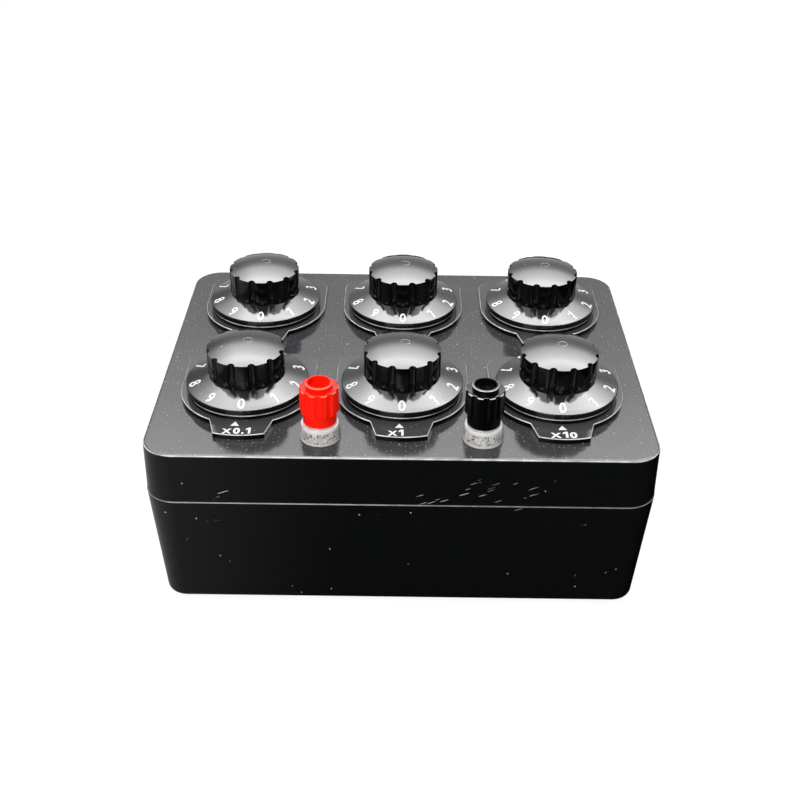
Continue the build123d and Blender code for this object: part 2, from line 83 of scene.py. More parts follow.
def linear(hex_colour: str) -> tuple[float, float, float, float]:
    """Turn an sRGB hex colour into the linear values that shaders take.

    Args:
        hex_colour: Six hex digits with a leading hash.

    Returns:
        Red, green, blue and alpha.
    """
    channels = []
    for start in (1, 3, 5):
        value = int(hex_colour[start:start + 2], 16) / 255
        channels.append(value / 12.92 if value <= 0.04045 else ((value + 0.055) / 1.055) ** 2.4)
    return (*channels, 1.0)


def add(
    tree: NodeTree,
    kind: str,
    inputs: dict[str | int, object] | None = None,
    **settings: object,
) -> Node:
    """Add one node to a tree, with its settings and its inputs.

    Args:
        tree: The node tree of a material or of the world.
        kind: Blender's name for the type of node.
        inputs: A plain value or another node's output socket for each input, by name or number.
        settings: Properties of the node itself.

    Returns:
        The new node.
    """
    node = tree.nodes.new(kind)
    for name, value in settings.items():
        setattr(node, name, value)
    for name, value in (inputs or {}).items():
        if isinstance(value, NodeSocket):
            tree.links.new(value, node.inputs[name])
        else:
            node.inputs[name].default_value = value
    return node


def empty_material(name: str) -> tuple[Material, NodeTree, NodeSocket]:
    """Make a material with no nodes but its output.

    Args:
        name: Name of the material.

    Returns:
        The material, its node tree and the surface socket of its output.
    """
    material = bpy.data.materials.new(name)
    material.use_nodes = True
    tree = material.node_tree
    tree.nodes.clear()
    output = add(tree, "ShaderNodeOutputMaterial")
    return material, tree, output.inputs["Surface"]


class Facing(Enum):
    """Which faces of a piece gather dust and a painted sheen, get scratched or get a painted edge highlight.
    """

    UP = "up"
    SIDES = "sides"
    EDGES = "edges"


def own_place(tree: NodeTree) -> NodeSocket:
    """Place of the shaded point in the object's own coordinates."""
    return add(tree, "ShaderNodeTexCoord").outputs["Object"]


def part_of(tree: NodeTree, vector: NodeSocket, axis: str) -> NodeSocket:
    """The X, Y or Z part of a vector."""
    return add(tree, "ShaderNodeSeparateXYZ", {0: vector}).outputs[axis]


def masked(tree: NodeTree, first: NodeSocket, second: NodeSocket) -> NodeSocket:
    """Product of two masks."""
    return add(tree, "ShaderNodeMath", {0: first, 1: second}, operation="MULTIPLY").outputs[0]


def either(tree: NodeTree, first: NodeSocket, second: NodeSocket) -> NodeSocket:
    """The larger of two masks."""
    return add(tree, "ShaderNodeMath", {0: first, 1: second}, operation="MAXIMUM").outputs[0]


def facing_mask(
    tree: NodeTree, facing: Facing, slopes: tuple[float, float] = (0.15, 0.94),
) -> NodeSocket:
    """Mask of the faces that look up, of the walls or of the rounded edges between them.

    Args:
        tree: The material's node tree.
        facing: The faces that the mask lets through.
        slopes: Upright part of the normal at which an edge's mask starts and ends.

    Returns:
        A socket that is 1 on those faces and 0 on the others.
    """
    upright = part_of(tree, add(tree, "ShaderNodeTexCoord").outputs["Normal"], "Z")
    if facing is Facing.EDGES:
        least, most = slopes
        below = add(tree, "ShaderNodeMapRange", {
            "Value": upright, "From Min": most, "From Max": most - LEVEL_FADE,
        })
        above = add(tree, "ShaderNodeMapRange", {
            "Value": upright, "From Min": least, "From Max": least + STEEP_FADE,
        })
        return masked(tree, below.outputs["Result"], above.outputs["Result"])
    full = LEVEL_SLOPE if facing is Facing.UP else STEEP_SLOPE
    return add(tree, "ShaderNodeMapRange", {
        "Value": upright, "From Min": HALF_SLOPE, "From Max": full,
    }).outputs["Result"]


def noise(tree: NodeTree, size_mm: float, detail: float = 2.0) -> NodeSocket:
    """Cloudy pattern in the object's own coordinates.

    Args:
        tree: The material's node tree.
        size_mm: Size of one patch.
        detail: Number of finer layers.

    Returns:
        The pattern's value, about 0.5 on average.
    """
    pattern = add(tree, "ShaderNodeTexNoise", {
        "Vector": own_place(tree), "Scale": 1 / (size_mm * MM), "Detail": detail,
    })
    return pattern.outputs["Fac"]


def specks(
    tree: NodeTree, spacing_mm: float, radius_mm: float, share: float, flat: bool = True,
) -> NodeSocket:
    """Sparse round specks, such as dust, in the object's own coordinates.

    Args:
        tree: The material's node tree.
        spacing_mm: Size of the cells that hold at most one speck each.
        radius_mm: Radius of the largest speck.
        share: Share of the cells that hold one.
        flat: True for specks on level faces, False for specks on any face.

    Returns:
        A socket that is 1 inside a speck and 0 elsewhere.
    """
    cells = add(tree, "ShaderNodeTexVoronoi", {
        "Vector": own_place(tree), "Scale": 1 / (spacing_mm * MM),
    }, feature="F1", voronoi_dimensions="2D" if flat else "3D")
    chance = add(tree, "ShaderNodeSeparateColor", {"Color": cells.outputs["Color"]})
    size = add(tree, "ShaderNodeMapRange", {
        "Value": chance.outputs["Red"], "From Min": 1 - share, "From Max": 1.0,
        "To Min": 0.0, "To Max": radius_mm / spacing_mm,
    })
    inside = add(tree, "ShaderNodeMath", {
        0: cells.outputs["Distance"], 1: size.outputs["Result"],
    }, operation="LESS_THAN")
    return inside.outputs[0]


def scratches(
    tree: NodeTree, length_mm: float, width_mm: float, slope: float, share: float = 0.14,
) -> NodeSocket:
    """Short thin scratches that lie about one way across the walls.

    Args:
        tree: The material's node tree.
        length_mm: Length of the longest scratch.
        width_mm: Width of a scratch.
        slope: Angle above the level in degrees.
        share: Share of the cells that hold a scratch.

    Returns:
        A socket that is 1 inside a scratch and 0 elsewhere.
    """
    depth_mm = 40.0
    largest = 0.24
    turned = add(tree, "ShaderNodeMapping", {
        "Vector": own_place(tree), "Rotation": (0.0, math.radians(slope), 0.0),
    })
    narrow = add(tree, "ShaderNodeMapping", {
        "Vector": turned.outputs["Vector"],
        "Scale": (1 / (2 * length_mm * MM), 1 / (depth_mm * MM), 1 / (6 * width_mm * MM)),
    })
    cells = add(tree, "ShaderNodeTexVoronoi", {
        "Vector": narrow.outputs["Vector"], "Scale": 1.0,
    }, feature="F1")
    chance = add(tree, "ShaderNodeSeparateColor", {"Color": cells.outputs["Color"]})
    size = add(tree, "ShaderNodeMapRange", {
        "Value": chance.outputs["Green"], "From Min": 1 - share, "From Max": 1.0,
        "To Min": 0.0, "To Max": largest,
    })
    inside = add(tree, "ShaderNodeMath", {
        0: cells.outputs["Distance"], 1: size.outputs["Result"],
    }, operation="LESS_THAN")
    return inside.outputs[0]


def around(tree: NodeTree, place_mm: tuple[float, float, float], reach_mm: float) -> NodeSocket:
    """Mask of what lies about one place.

    Args:
        tree: The material's node tree.
        place_mm: The place in the frame's millimetres.
        reach_mm: Distance at which the mask has faded out.

    Returns:
        A socket that is 1 at the place and 0 beyond the reach.
    """
    full_share = 0.6
    away = add(tree, "ShaderNodeVectorMath", {
        0: own_place(tree), 1: tuple(part * MM for part in place_mm),
    }, operation="DISTANCE")
    return add(tree, "ShaderNodeMapRange", {
        "Value": away.outputs["Value"], "From Min": full_share * reach_mm * MM,
        "From Max": reach_mm * MM, "To Min": 1.0, "To Max": 0.0,
    }).outputs["Result"]


@dataclass(frozen=True)
class MouldedPlastic:
    """Opaque plastic out of a polished mould.

    The eye gets a deep body colour under sharp reflections that waver a little where the
    wall sank as it cooled, some haze from handling, dust on whatever faces up, a grey sheen
    painted on the faces that look up and highlights painted on the rounded edges, both standing
    in for reflections. Sizes are in millimetres; a pair of sizes is the spacing of marks and the
    radius or width of one.
    """

    name: str
    colour: str
    roughness: float
    haze: float = 0.06
    ior: float = 1.5
    specular_tint: float = 1.0
    haze_size_mm: float = 14.0
    shade_size_mm: float = 5.0
    ripple_mm: float = 0.0
    ripple_size_mm: float = 16.0
    film: float = 0.0
    film_colour: str = "#66676b"
    film_size_mm: float = 30.0
    film_dulling: float = 0.06
    dust: float = 0.0
    dust_colour: str = "#b2b3b4"
    dust_sizes_mm: tuple[tuple[float, float], ...] = ((1.9, 0.19), (12.0, 0.34))
    mark_dulling: float = 0.5
    worn: float = 0.0
    worn_colour: str = "#b4b4b2"
    worn_size_mm: float = 6.0
    worn_dulling: float = 0.2
    worn_slopes: tuple[float, float] = (0.15, 0.94)
    worn_above_mm: float = 0.0
    worn_fade_mm: float = 5.0
    scratched: tuple[tuple[tuple[float, float, float], float], ...] = ()
    scratch_mm: tuple[float, float] = (5.0, 0.065)
    scratch_slope: float = 20.0
    chip_mm: tuple[float, float] = (4.0, 0.26)
    chip_share: float = 0.4

    def material(self) -> Material:
        """Build the material."""
        material, tree, surface = empty_material(self.name)
        plastic = add(tree, "ShaderNodeBsdfPrincipled")
        plastic.inputs["IOR"].default_value = self.ior
        plastic.inputs["Specular Tint"].default_value = (self.specular_tint,) * 3 + (1.0,)
        haze = add(tree, "ShaderNodeMapRange", {
            "Value": noise(tree, self.haze_size_mm, 4.0), "From Min": 0.3, "From Max": 0.7,
            "To Min": self.roughness, "To Max": self.roughness + self.haze,
        })
        colour = linear(self.colour)
        paler = tuple(min(1.0, channel * 1.15) for channel in colour)
        paint = add(tree, "ShaderNodeMix", {
            0: noise(tree, self.shade_size_mm), 6: colour, 7: paler,
        }, data_type="RGBA")
        skin = paint.outputs[2]
        rough = haze.outputs["Result"]
        for mark, shade, dulling in self._marks(tree):
            mixed = add(tree, "ShaderNodeMix", {0: mark, 6: skin, 7: linear(shade)}, data_type="RGBA")
            skin = mixed.outputs[2]
            dull = add(tree, "ShaderNodeMath", {0: mark, 1: dulling, 2: rough}, operation="MULTIPLY_ADD")
            rough = dull.outputs[0]
        tree.links.new(skin, plastic.inputs["Base Color"])
        tree.links.new(rough, plastic.inputs["Roughness"])
        if self.ripple_mm:
            bump = add(tree, "ShaderNodeBump", {
                "Height": noise(tree, self.ripple_size_mm, 1.0), "Strength": 1.0,
                "Distance": self.ripple_mm * MM,
            })
            tree.links.new(bump.outputs["Normal"], plastic.inputs["Normal"])
        tree.links.new(plastic.outputs[0], surface)
        return material

    def _marks(self, tree: NodeTree) -> list[tuple[NodeSocket, str, float]]:
        """What lies on the surface, from below up: painted sheen, dust, painted edge highlights, scratches
        and chips.

        Args:
            tree: The material's node tree.

        Returns:
            A mask, a colour and the added roughness for each kind of mark.
        """
        marks = []
        # Painted sheen: grey paint on the faces that look up, which stands in for the overhead reflection
        # that lightens them.
        if self.film:
            patches = add(tree, "ShaderNodeMapRange", {
                "Value": noise(tree, self.film_size_mm, 3.0),
                "To Min": 0.75 * self.film, "To Max": 1.25 * self.film,
            })
            film = masked(tree, patches.outputs["Result"], facing_mask(tree, Facing.UP))
            marks.append((film, self.film_colour, self.film_dulling))
        if self.dust:
            up = facing_mask(tree, Facing.UP)
            for spacing_mm, radius_mm in self.dust_sizes_mm:
                grains = masked(tree, specks(tree, spacing_mm, radius_mm, self.dust), up)
                marks.append((grains, self.dust_colour, self.mark_dulling))
        # Painted highlight: pale paint on the rounded edges, which stands in for the light they reflect.
        if self.worn:
            marks.append((self._worn_edges(tree), self.worn_colour, self.worn_dulling))
        if self.scratched:
            walls = facing_mask(tree, Facing.SIDES)
            lines = masked(tree, scratches(tree, *self.scratch_mm, self.scratch_slope), walls)
            for place_mm, reach_mm in self.scratched:
                group = masked(tree, lines, around(tree, place_mm, reach_mm))
                marks.append((group, self.worn_colour, self.mark_dulling))
            chips = masked(tree, specks(tree, *self.chip_mm, self.chip_share, flat=False), walls)
            marks.append((chips, self.worn_colour, self.mark_dulling))
        return marks

    def _worn_edges(self, tree: NodeTree) -> NodeSocket:
        """Mask of the rounded edges that get a painted highlight, patchy, and strongest above the given
        level.
        """
        patchy_highlight = add(tree, "ShaderNodeMapRange", {
            "Value": noise(tree, self.worn_size_mm, 3.0), "From Min": 0.25, "From Max": 0.6,
            "To Min": 0.35 * self.worn, "To Max": self.worn,
        })
        slopes = facing_mask(tree, Facing.EDGES, self.worn_slopes)
        edges = masked(tree, patchy_highlight.outputs["Result"], slopes)
        if not self.worn_above_mm:
            return edges
        upper_highlight = add(tree, "ShaderNodeMapRange", {
            "Value": part_of(tree, own_place(tree), "Z"), "From Min": self.worn_above_mm * MM,
            "From Max": (self.worn_above_mm + self.worn_fade_mm) * MM, "To Min": 0.3,
        })
        return masked(tree, edges, upper_highlight.outputs["Result"])


@dataclass(frozen=True)
class ClearAcrylic:
    """Clear acrylic that bends what lies behind, with painted mottling that stands in for what it bends into
    view, and painted glare at its rims.
    """

    name: str
    colour: str = "#f6f4f0"
    strain_colour: str = "#7d756a"
    rim_colour: str = "#ffffff"
    ior: float = 1.49
    clearness: float = 0.35
    strain_size_mm: float = 2.0
    strain_line: tuple[float, float] = (0.012, 0.04)
    cloud_size_mm: float = 2.4
    ripple_mm: float = 0.12
    ripple_size_mm: float = 2.2
    rim_levels: tuple[float, float] = (76.7, 80.9)
    rim_fade: float = 0.3

    def material(self) -> Material:
        """Build the material."""
        material, tree, surface = empty_material(self.name)
        clear = add(tree, "ShaderNodeBsdfPrincipled")
        clear.inputs["IOR"].default_value = self.ior
        clear.inputs["Transmission Weight"].default_value = self.clearness
        rough = add(tree, "ShaderNodeMapRange", {"Value": noise(tree, 3.0), "To Min": 0.0, "To Max": 0.05})
        tree.links.new(rough.outputs["Result"], clear.inputs["Roughness"])
        # Painted refraction: darker mottled lines in the base colour stand in for what the clear wall bends
        # into view.
        cloud = add(tree, "ShaderNodeMapRange", {
            "Value": noise(tree, self.cloud_size_mm, 1.0), "From Min": 0.4, "From Max": 0.65,
            "To Max": 0.35,
        })
        bent = add(tree, "ShaderNodeMath", {
            0: noise(tree, self.strain_size_mm), 1: 0.5,
        }, operation="SUBTRACT")
        thin, wide = self.strain_line
        line = add(tree, "ShaderNodeMath", {0: bent.outputs[0]}, operation="ABSOLUTE")
        refraction_mask = add(tree, "ShaderNodeMapRange", {
            "Value": line.outputs[0], "From Min": thin, "From Max": wide, "To Min": 1.0,
            "To Max": cloud.outputs["Result"],
        })
        tint = add(tree, "ShaderNodeMix", {
            0: refraction_mask.outputs["Result"], 6: linear(self.colour), 7: linear(self.strain_colour),
        }, data_type="RGBA")
        # Painted glare: white bands at the foot and the top of the collar.
        glare_paint = add(tree, "ShaderNodeMix", {
            0: self._rims(tree), 6: tint.outputs[2], 7: linear(self.rim_colour),
        }, data_type="RGBA")
        tree.links.new(glare_paint.outputs[2], clear.inputs["Base Color"])
        ripple = add(tree, "ShaderNodeBump", {
            "Height": noise(tree, self.ripple_size_mm), "Strength": 1.0, "Distance": self.ripple_mm * MM,
        })
        tree.links.new(ripple.outputs["Normal"], clear.inputs["Normal"])
        tree.links.new(clear.outputs[0], surface)
        return material

    def _rims(self, tree: NodeTree) -> NodeSocket:
        """Mask of the bands at the foot and the top of the collars that get painted white glare, where the
        light comes out.
        """
        level = part_of(tree, own_place(tree), "Z")
        fade = self.rim_fade
        low, high = self.rim_levels
        foot = add(tree, "ShaderNodeMapRange", {
            "Value": level, "From Min": (low + fade) * MM, "From Max": (low - fade) * MM,
        })
        top = add(tree, "ShaderNodeMapRange", {
            "Value": level, "From Min": (high - fade) * MM, "From Max": (high + fade) * MM,
        })
        return add(tree, "ShaderNodeMath", {
            0: foot.outputs[0], 1: top.outputs[0],
        }, operation="ADD").outputs[0]


@dataclass(frozen=True)
class WorkedMetal:
    """Bare or plated metal, with the fine lines of turning, rolling or stamping."""

    name: str
    colour: str
    roughness: float
    grain_mm: float = 0.3
    stretch: tuple[float, float, float] = (1.0, 1.0, 6.0)

    def material(self) -> Material:
        """Build the material."""
        material, tree, surface = empty_material(self.name)
        metal = add(tree, "ShaderNodeBsdfPrincipled", {"Metallic": 1.0})
        drawn = add(tree, "ShaderNodeMapping", {"Vector": own_place(tree), "Scale": self.stretch})
        lines = add(tree, "ShaderNodeTexNoise", {
            "Vector": drawn.outputs["Vector"], "Scale": 1 / (self.grain_mm * MM), "Detail": 3.0,
        })
        rough = add(tree, "ShaderNodeMapRange", {
            "Value": lines.outputs["Fac"], "From Min": 0.3, "From Max": 0.7,
            "To Min": self.roughness * 0.7, "To Max": self.roughness * 1.3,
        })
        tree.links.new(rough.outputs["Result"], metal.inputs["Roughness"])
        tarnish = add(tree, "ShaderNodeMix", {0: noise(tree, 4.0)}, data_type="RGBA")
        tarnish.inputs[6].default_value = linear(self.colour)
        tarnish.inputs[7].default_value = tuple(0.8 * c for c in linear(self.colour)[:3]) + (1.0,)
        tree.links.new(tarnish.outputs[2], metal.inputs["Base Color"])
        bump = add(tree, "ShaderNodeBump", {
            "Height": lines.outputs["Fac"], "Strength": 0.3, "Distance": 0.01 * MM,
        })
        tree.links.new(bump.outputs["Normal"], metal.inputs["Normal"])
        tree.links.new(metal.outputs[0], surface)
        return material


@dataclass(frozen=True)
class MattStock:
    """Dull stock with a woven, wound or moulded grain: laminate, lacquered wire or rubber."""

    name: str
    colour: str
    second_colour: str
    roughness: float
    grain_mm: float
    stretch: tuple[float, float, float] = (1.0, 1.0, 1.0)

    def material(self) -> Material:
        """Build the material."""
        material, tree, surface = empty_material(self.name)
        stock = add(tree, "ShaderNodeBsdfPrincipled", {"Roughness": self.roughness})
        drawn = add(tree, "ShaderNodeMapping", {"Vector": own_place(tree), "Scale": self.stretch})
        grain = add(tree, "ShaderNodeTexNoise", {
            "Vector": drawn.outputs["Vector"], "Scale": 1 / (self.grain_mm * MM), "Detail": 2.0,
        })
        colours = add(tree, "ShaderNodeMix", {0: grain.outputs["Fac"]}, data_type="RGBA")
        colours.inputs[6].default_value = linear(self.colour)
        colours.inputs[7].default_value = linear(self.second_colour)
        tree.links.new(colours.outputs[2], stock.inputs["Base Color"])
        bump = add(tree, "ShaderNodeBump", {
            "Height": grain.outputs["Fac"], "Strength": 0.4, "Distance": 0.05 * MM,
        })
        tree.links.new(bump.outputs["Normal"], stock.inputs["Normal"])
        tree.links.new(stock.outputs[0], surface)
        return material


@dataclass(frozen=True)
class PrintedInk:
    """White marking ink, pressed into the moulding: flat, dull and a little uneven."""

    name: str = "white marking ink"
    colour: str = "#f4f4f2"
    thin_colour: str = "#e2e2df"
    roughness: float = 0.5

    def material(self) -> Material:
        """Build the material."""
        material, tree, surface = empty_material(self.name)
        ink = add(tree, "ShaderNodeBsdfPrincipled", {"Roughness": self.roughness})
        cover = add(tree, "ShaderNodeMix", {0: noise(tree, 0.6)}, data_type="RGBA")
        cover.inputs[6].default_value = linear(self.colour)
        cover.inputs[7].default_value = linear(self.thin_colour)
        tree.links.new(cover.outputs[2], ink.inputs["Base Color"])
        tree.links.new(ink.outputs[0], surface)
        return material


class Finish(Enum):
    """The finishes of the box, each on its record slot's name."""

    CASE = "case_plastic"
    PLATE = "plate_plastic"
    KNOB = "knob_plastic"
    RED = "red_plastic"
    BLACK = "black_cap_plastic"
    CLEAR = "clear_plastic"
    NICKEL = "nickel_plate"
    ZINC = "zinc_steel"
    SPINDLE = "spindle_steel"
    SPRING = "spring_steel"
    BRASS = "contact_brass"
    TIN = "tinned_wire"
    LAMINATE = "laminate"
    ROTOR = "rotor_plastic"
    RESISTOR = "resistor_coat"
    RUBBER = "foot_rubber"


class Finishes:
    """Makes each finish once and hands it out by the record's slot."""

    def __init__(self) -> None:
        """Build every material of the box."""
        makers = {
            # Case: the grey sheen on faces that look up and the pale rounded edges above 60 mm are painted
            # light, standing in for reflections; the scratches and chips are wear.
            Finish.CASE: MouldedPlastic(
                "black ABS, polished moulding", "#0b0d0c", 0.07, specular_tint=0.5, ripple_mm=0.02, film=0.3,
                dust=0.6, worn=1.0, worn_colour="#dadad8", worn_slopes=(0.40, 0.86), worn_above_mm=60.0,
                scratched=(
                    ((13.0, -77.0, 58.5), 8.0), ((28.0, -77.0, 59.0), 8.0), ((44.0, -77.0, 60.0), 10.0),
                    ((-69.0, -77.0, 61.0), 9.0),
                ),
            ),
            # Plate: a grey sheen painted on top and white highlights painted on the rounded edges.
            Finish.PLATE: MouldedPlastic(
                "black ABS, dial plate moulding", "#060607", 0.07, specular_tint=0.4, ripple_mm=0.012,
                film=0.4, dust=0.15, worn=1.0, worn_colour="#e4e4e2",
            ),
            # Knob: a faint grey sheen painted on the faces that look up.
            Finish.KNOB: MouldedPlastic(
                "black phenolic, polished moulding", "#050505", 0.08, ior=1.47, ripple_mm=0.03,
                ripple_size_mm=7.5, film=0.08, dust=0.06,
            ),
            # Red cap: pale orange highlights painted on the rounded edges.
            Finish.RED: MouldedPlastic(
                "red polyamide, terminal moulding", "#f81602", 0.3, specular_tint=0.06, ripple_mm=0.01,
                ripple_size_mm=4.0, worn=1.0, worn_colour="#ffa182",
            ),
            # Black cap: white highlights painted on the rounded edges.
            Finish.BLACK: MouldedPlastic(
                "black polyamide, terminal moulding", "#060606", 0.14, specular_tint=0.25, ripple_mm=0.01,
                ripple_size_mm=4.0, worn=1.0, worn_colour="#ececea",
            ),
            Finish.CLEAR: ClearAcrylic("clear acrylic, turned"),
            Finish.NICKEL: WorkedMetal("nickel plated brass, turned", "#e2dccf", 0.34),
            Finish.ZINC: WorkedMetal("zinc plated steel, stamped", "#b9bcc0", 0.35),
            Finish.SPINDLE: WorkedMetal("free cutting steel, turned", "#b4b4b0", 0.3),
            Finish.SPRING: WorkedMetal("spring steel, rolled", "#85868a", 0.32, stretch=(6.0, 1.0, 1.0)),
            Finish.BRASS: WorkedMetal("contact brass, stamped", "#d6b36a", 0.28),
            Finish.TIN: WorkedMetal("tinned copper wire, drawn", "#c8c9cb", 0.34),
            Finish.LAMINATE: MattStock("phenolic laminate, sawn", "#6b3f1c", "#8a5a2e", 0.6, 0.6),
            Finish.ROTOR: MattStock("cream polyamide, moulded", "#d8cfb4", "#e4dcc4", 0.5, 2.0),
            Finish.RESISTOR: MattStock(
                "green lacquer over winding", "#1c5a38", "#2b7a4e", 0.45, 0.35, stretch=(1.0, 1.0, 5.0),
            ),
            Finish.RUBBER: MattStock("black rubber, moulded", "#141414", "#232323", 0.85, 1.0),
        }
        self.by_slot = {finish.value: maker.material() for finish, maker in makers.items()}
        self.ink = PrintedInk().material()
        self.broken = MouldedPlastic("black phenolic, broken gate", "#808084", 0.3).material()

    def of_slot(self, slot: str) -> Material:
        """Material of one record slot."""
        return self.by_slot[slot]


@dataclass
class Frame:
    """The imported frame: its nodes, the body that each rides on and its finish."""

    nodes: dict[str, Object]
    body_of: dict[str, str]
    slot_of: dict[str, str]
    finishes: Finishes

    @classmethod
    def from_loaded(cls, loaded: dict, finishes: Finishes) -> "Frame":
        """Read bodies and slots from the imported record.

        Args:
            finishes: The materials.

        Returns:
            The frame.
        """
        record = loaded["record"]
        bodies = record["behaviour"]["bodies"]
        body_of = {node: body for body, nodes in bodies.items() for node in nodes}
        slot_of = {row["node"]: row["material_slot"] for row in record["subparts"]}
        return cls(loaded["nodes"], body_of, slot_of, finishes)

    def dress(self, node: str) -> None:
        """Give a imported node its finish."""
        material = self.finishes.of_slot(self.slot_of[node])
        mesh = self.nodes[node].data
        mesh.materials.clear()
        mesh.materials.append(material)

    def polish(self, node: str, crease: float = 28.0, eased_level: float | None = None) -> Object:
        """Stand a smooth-shaded copy in for a node, so that its gloss runs round its curves.

        Args:
            node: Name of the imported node.
            crease: Edges sharper than this many degrees stay sharp.
            eased_level: Level in millimetres at which the sharp outer edges get a small round.

        Returns:
            The copy.
        """
        work = bmesh.new()
        work.from_mesh(self.nodes[node].data)
        bmesh.ops.remove_doubles(work, verts=work.verts, dist=0.0005 * MM)
        bmesh.ops.dissolve_degenerate(work, edges=work.edges, dist=0.0005 * MM)
        if eased_level is not None:
            ease(work, eased_level)
        limit = math.radians(crease)
        for face in work.faces:
            face.smooth = True
            face.material_index = 0
        for edge in work.edges:
            edge.smooth = edge.is_manifold and edge.calc_face_angle() < limit
        piece = new_piece(f"{node}_finish", work, self.finishes.of_slot(self.slot_of[node]))
        even = piece.modifiers.new("even shading", "WEIGHTED_NORMAL")
        even.keep_sharp = True
        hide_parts(node)
        self.mount(piece, node)
        return piece

    def mount(self, piece: Object, node: str, slot: str | None = None) -> None:
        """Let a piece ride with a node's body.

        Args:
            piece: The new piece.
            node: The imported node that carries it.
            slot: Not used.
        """
        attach(piece, self.body_of[node])
        LOG.info("%s rides on %s", piece.name, self.body_of[node])


def ease(work: BMesh, level: float, width: float = 0.45) -> None:
    """Round the sharp convex edges that lie at one level.

    Args:
        work: The mesh in metres.
        level: The edges' level in millimetres.
        width: How far the round reaches from the edge, in millimetres.
    """
    bmesh.ops.dissolve_limit(work, angle_limit=math.radians(0.5), verts=work.verts, edges=work.edges)
    sharp = [
        edge for edge in work.edges
        if edge.is_manifold and edge.is_convex and edge.calc_face_angle() > math.radians(60)
        and all(abs(vert.co.z / MM - level) < 0.02 for vert in edge.verts)
    ]
    bmesh.ops.bevel(
        work, geom=sharp, offset=width * MM, segments=3, profile=0.5, affect="EDGES", clamp_overlap=True,
    )
    bmesh.ops.triangulate(work, faces=[face for face in work.faces if len(face.verts) > 4])


def new_piece(name: str, work: BMesh, material: Material) -> Object:
    """Turn a bmesh into a finished object at the origin.

    Args:
        name: Name of the object.
        work: Its mesh in metres, freed here.
        material: Its only material.

    Returns:
        The linked object.
    """
    mesh = bpy.data.meshes.new(name)
    work.to_mesh(mesh)
    work.free()
    mesh.materials.append(material)
    piece = bpy.data.objects.new(name, mesh)
    bpy.context.scene.collection.objects.link(piece)
    return piece


def join(whole: BMesh, part: BMesh) -> None:
    """Move a bmesh's content into another one and free it."""
    mesh = bpy.data.meshes.new("part")
    part.to_mesh(mesh)
    part.free()
    whole.from_mesh(mesh)
    bpy.data.meshes.remove(mesh)


def thin_solid(corners: list[tuple[float, float]]) -> BMesh:
    """Closed solid of the ink's thickness, half above and half below the level of its outline.

    Args:
        corners: The outline, anticlockwise or clockwise.

    Returns:
        The mesh.
    """
    work = bmesh.new()
    foot = work.faces.new([work.verts.new((x, y, -INK_MM / 2)) for x, y in corners])
    raised = bmesh.ops.extrude_face_region(work, geom=[foot])
    top = [item for item in raised["geom"] if isinstance(item, BMVert)]
    bmesh.ops.translate(work, verts=top, vec=(0, 0, INK_MM))
    bmesh.ops.recalc_face_normals(work, faces=work.faces)
    return work


@dataclass
class Glyphs:
    """Plain sans characters, cut as thin closed solids that later lie on the moulding.

    The figure 1 is drawn here, because the built-in font's one has no flag and reads as a letter.
    All but the height are shares of the height.
    """

    height: float
    weight: float = 0.0
    spacing: float = 0.14
    stroke: float = 0.15
    flag: float = 0.24
    flag_tip: float = 0.80
    flag_root: float = 0.96
    cross: float = 0.86

    def cut(self, text: str, width: float | None = None) -> BMesh:
        """Cut a word, centred on the origin, with its top towards +Y, in millimetres.

        Args:
            text: The characters.
            width: Width of the whole word, or None to keep the characters' own.

        Returns:
            The mesh, in millimetres.
        """
        whole = bmesh.new()
        grow = self.height / self._tallness(self._font_character("0"))
        cursor = 0.0
        for character in text:
            work = self._figure_one(grow) if character == "1" else self._font_character(character)
            tall = self.cross if character == "X" else 1.0
            bmesh.ops.scale(work, verts=work.verts, vec=(grow * tall, grow * tall, 1))
            left = min(vert.co.x for vert in work.verts)
            right = max(vert.co.x for vert in work.verts)
            bmesh.ops.translate(work, verts=work.verts, vec=(cursor - left, 0, 0))
            cursor += right - left + self.spacing * self.height
            join(whole, work)
        length = cursor - self.spacing * self.height
        stretch = width / length if width else 1.0
        bmesh.ops.translate(whole, verts=whole.verts, vec=(-length / 2, -self.height / 2, 0))
        bmesh.ops.scale(whole, verts=whole.verts, vec=(stretch, 1, 1))
        return whole

    def _tallness(self, work: BMesh) -> float:
        """Size of a mesh along Y; the mesh is freed."""
        places = [vert.co.y for vert in work.verts]
        work.free()
        return max(places) - min(places)

    def _figure_one(self, grow: float) -> BMesh:
        """The figure 1: an upright stroke with a slanted flag, in the font's units.

        Args:
            grow: What the font's characters are scaled by afterwards.

        Returns:
            The mesh.
        """
        tall = self.height / grow
        stroke = (self.stroke + 2 * self.weight) * tall
        flag = self.flag * tall
        tip = self.flag_tip * tall
        return thin_solid([
            (flag, 0.0), (flag + stroke, 0.0), (flag + stroke, tall), (flag, tall),
            (0.0, tip), (0.0, tip - stroke), (flag, self.flag_root * tall - stroke),
        ])

    def _font_character(self, character: str) -> BMesh:
        """One character of the built-in font, as a thin solid on its base line."""
        curve = bpy.data.curves.new("character", "FONT")
        curve.body = character
        curve.size = self.height
        curve.offset = self.weight * self.height
        curve.resolution_u = 4
        curve.extrude = INK_MM / 2
        letter = bpy.data.objects.new("character", curve)
        bpy.context.scene.collection.objects.link(letter)
        bpy.context.view_layer.update()
        mesh = bpy.data.meshes.new_from_object(letter.evaluated_get(bpy.context.evaluated_depsgraph_get()))
        bpy.data.objects.remove(letter)
        bpy.data.curves.remove(curve)
        work = bmesh.new()
        work.from_mesh(mesh)
        bpy.data.meshes.remove(mesh)
        bmesh.ops.remove_doubles(work, verts=work.verts, dist=0.001)
        return work


